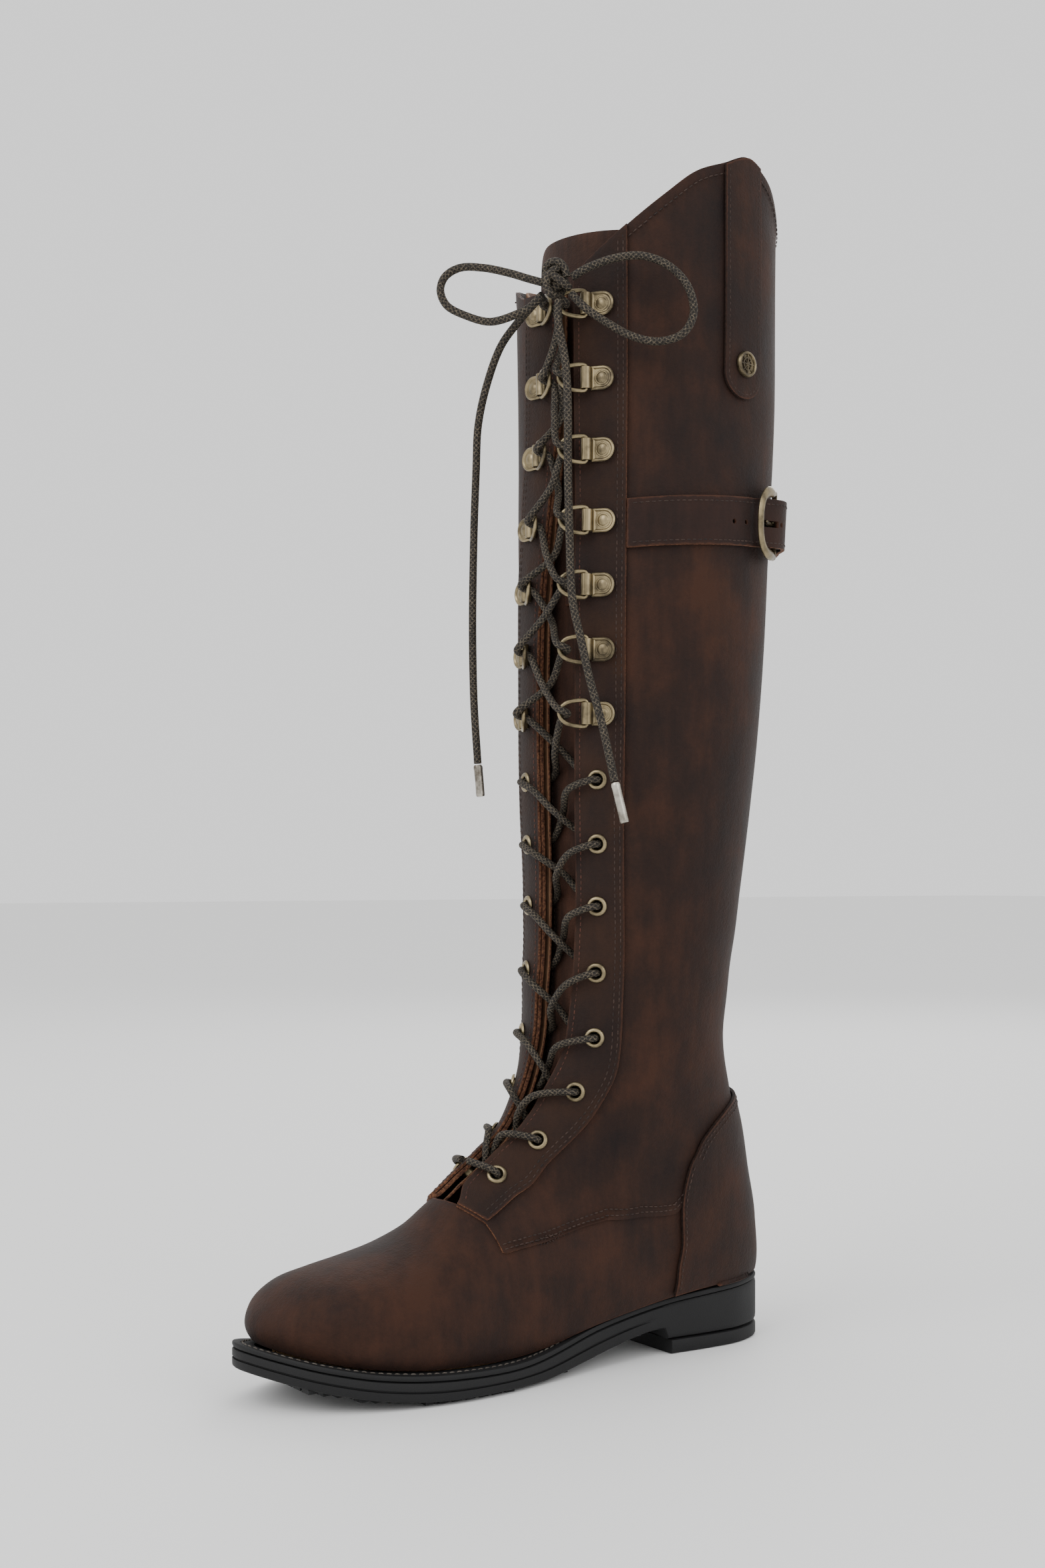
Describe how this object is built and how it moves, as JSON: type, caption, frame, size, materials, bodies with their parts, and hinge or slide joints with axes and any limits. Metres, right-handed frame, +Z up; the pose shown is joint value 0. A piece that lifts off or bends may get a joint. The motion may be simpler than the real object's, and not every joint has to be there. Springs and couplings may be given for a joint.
{
  "type": "lace-up riding boot",
  "caption": "Knee-high leather riding boot, laced up the front through eyelets and ring hooks, with a calf strap and buckle, a top tab and a low-heeled rubber sole.",
  "frame": {"origin": "middle of the heel's tread face, on the ground", "axes": "+Z up the leg, -Y towards the toe, +X towards the outer (lateral) side of a left boot"},
  "size_m": [0.1332, 0.2633, 0.5397],
  "materials": {
    "brown_nubuck": "oiled nubuck, matte",
    "facing_leather": "oiled nubuck, matte",
    "tongue_leather": "soft oiled leather",
    "lining_leather": "smooth lining",
    "black_rubber": "matte moulded",
    "board": "fibre board",
    "shank_steel": "plain",
    "footbed_fabric": "woven",
    "antique_brass": "antiqued, satin",
    "aglet_steel": "dark crimped tip",
    "lace_cord": "waxed braid"
  },
  "bodies": {
    "boot": {"aglet_lateral": "aglet_steel", "aglet_medial": "aglet_steel", "back_stay": "brown_nubuck", "calf_strap": "brown_nubuck", "cork_filler": "board", "eyelet_row_lateral": "antique_brass", "eyelet_row_medial": "antique_brass", "facing_lateral": "facing_leather", "facing_medial": "facing_leather", "footbed": "footbed_fabric", "heel_counter": "brown_nubuck", "heel_lining": "lining_leather", "heel_stiffener": "board", "heel_top_piece": "black_rubber", "hook_plates_lateral": "antique_brass", "hook_plates_medial": "antique_brass", "insole_board": "board", "lace_end_lateral": "lace_cord", "lace_end_medial": "lace_cord", "lace_knot": "lace_cord", "lace_loop_lateral": "lace_cord", "lace_loop_medial": "lace_cord", "lace_run_first": "lace_cord", "lace_run_second": "lace_cord", "lining_lateral": "lining_leather", "lining_medial": "lining_leather", "outsole_unit": "black_rubber", "quarter_lateral": "brown_nubuck", "quarter_medial": "brown_nubuck", "shank": "shank_steel", "strap_chape": "brown_nubuck", "tab_stud": "antique_brass", "toe_puff": "board", "tongue": "tongue_leather", "tongue_loop": "tongue_leather", "top_tab": "brown_nubuck", "vamp": "brown_nubuck", "vamp_lining": "lining_leather", "welt": "black_rubber"},
    "ring_lateral_1": {"lace_ring_lateral_1": "antique_brass"},
    "ring_lateral_2": {"lace_ring_lateral_2": "antique_brass"},
    "ring_lateral_3": {"lace_ring_lateral_3": "antique_brass"},
    "ring_lateral_4": {"lace_ring_lateral_4": "antique_brass"},
    "ring_lateral_5": {"lace_ring_lateral_5": "antique_brass"},
    "ring_lateral_6": {"lace_ring_lateral_6": "antique_brass"},
    "ring_lateral_7": {"lace_ring_lateral_7": "antique_brass"},
    "ring_medial_1": {"lace_ring_medial_1": "antique_brass"},
    "ring_medial_2": {"lace_ring_medial_2": "antique_brass"},
    "ring_medial_3": {"lace_ring_medial_3": "antique_brass"},
    "ring_medial_4": {"lace_ring_medial_4": "antique_brass"},
    "ring_medial_5": {"lace_ring_medial_5": "antique_brass"},
    "ring_medial_6": {"lace_ring_medial_6": "antique_brass"},
    "ring_medial_7": {"lace_ring_medial_7": "antique_brass"},
    "buckle": {"buckle_frame": "antique_brass"},
    "prong": {"buckle_prong": "antique_brass"}
  },
  "joints": [
    {"name": "ring_lateral_1_hinge", "type": "hinge", "parent": "boot", "child": "ring_lateral_1", "pos_m": [0.03987, -0.08188, 0.28919], "axis": [0.0245, -0.0015, 0.9997], "range_deg": [-1, 2]},
    {"name": "ring_lateral_2_hinge", "type": "hinge", "parent": "boot", "child": "ring_lateral_2", "pos_m": [0.04023, -0.08208, 0.31717], "axis": [0.016, -0.0008, 0.9999], "range_deg": [-1, 2]},
    {"name": "ring_lateral_3_hinge", "type": "hinge", "parent": "boot", "child": "ring_lateral_3", "pos_m": [0.04016, -0.08226, 0.34544], "axis": [0.0087, 0.0086, 0.9999], "range_deg": [-1, 2]},
    {"name": "ring_lateral_4_hinge", "type": "hinge", "parent": "boot", "child": "ring_lateral_4", "pos_m": [0.04041, -0.08194, 0.37354], "axis": [0.0046, 0.0087, 1], "range_deg": [-1, 2]},
    {"name": "ring_lateral_5_hinge", "type": "hinge", "parent": "boot", "child": "ring_lateral_5", "pos_m": [0.03992, -0.08207, 0.40452], "axis": [0.001, 0.0082, 1], "range_deg": [-1, 2]},
    {"name": "ring_lateral_6_hinge", "type": "hinge", "parent": "boot", "child": "ring_lateral_6", "pos_m": [0.0396, -0.08211, 0.43578], "axis": [0.0015, 0.0026, 1], "range_deg": [-1, 2]},
    {"name": "ring_lateral_7_hinge", "type": "hinge", "parent": "boot", "child": "ring_lateral_7", "pos_m": [0.03956, -0.08225, 0.46817], "axis": [0.0029, -0.0051, 1], "range_deg": [-1, 2]},
    {"name": "ring_medial_1_hinge", "type": "hinge", "parent": "boot", "child": "ring_medial_1", "pos_m": [0.0032, -0.09167, 0.28922], "axis": [0.0094, 0.0095, -0.9999], "range_deg": [-1, 2]},
    {"name": "ring_medial_2_hinge", "type": "hinge", "parent": "boot", "child": "ring_medial_2", "pos_m": [0.00409, -0.09205, 0.31718], "axis": [0.0106, 0.0076, -0.9999], "range_deg": [-1, 2]},
    {"name": "ring_medial_3_hinge", "type": "hinge", "parent": "boot", "child": "ring_medial_3", "pos_m": [0.0065, -0.09224, 0.34545], "axis": [0.0133, -0.004, -0.9999], "range_deg": [-1, 2]},
    {"name": "ring_medial_4_hinge", "type": "hinge", "parent": "boot", "child": "ring_medial_4", "pos_m": [0.01031, -0.09205, 0.37354], "axis": [0.0105, -0.0049, -0.9999], "range_deg": [-1, 2]},
    {"name": "ring_medial_5_hinge", "type": "hinge", "parent": "boot", "child": "ring_medial_5", "pos_m": [0.01496, -0.09147, 0.40452], "axis": [0.0085, -0.0048, -1], "range_deg": [-1, 2]},
    {"name": "ring_medial_6_hinge", "type": "hinge", "parent": "boot", "child": "ring_medial_6", "pos_m": [0.01735, -0.09096, 0.43578], "axis": [0.0038, -0.0005, -1], "range_deg": [-1, 2]},
    {"name": "ring_medial_7_hinge", "type": "hinge", "parent": "boot", "child": "ring_medial_7", "pos_m": [0.01784, -0.09098, 0.46817], "axis": [-0.0017, 0.0058, -1], "range_deg": [-1, 2]},
    {"name": "buckle_hinge", "type": "hinge", "parent": "boot", "child": "buckle", "pos_m": [0.05292, 0.0127, 0.37882], "axis": [0.0621, -0.0198, 0.9979], "range_deg": [-4, 4.5]},
    {"name": "prong_hinge", "type": "hinge", "parent": "buckle", "child": "prong", "pos_m": [0.05292, 0.0127, 0.37882], "axis": [0.0621, -0.0198, 0.9979], "range_deg": [-3, 3.5]}
  ]
}
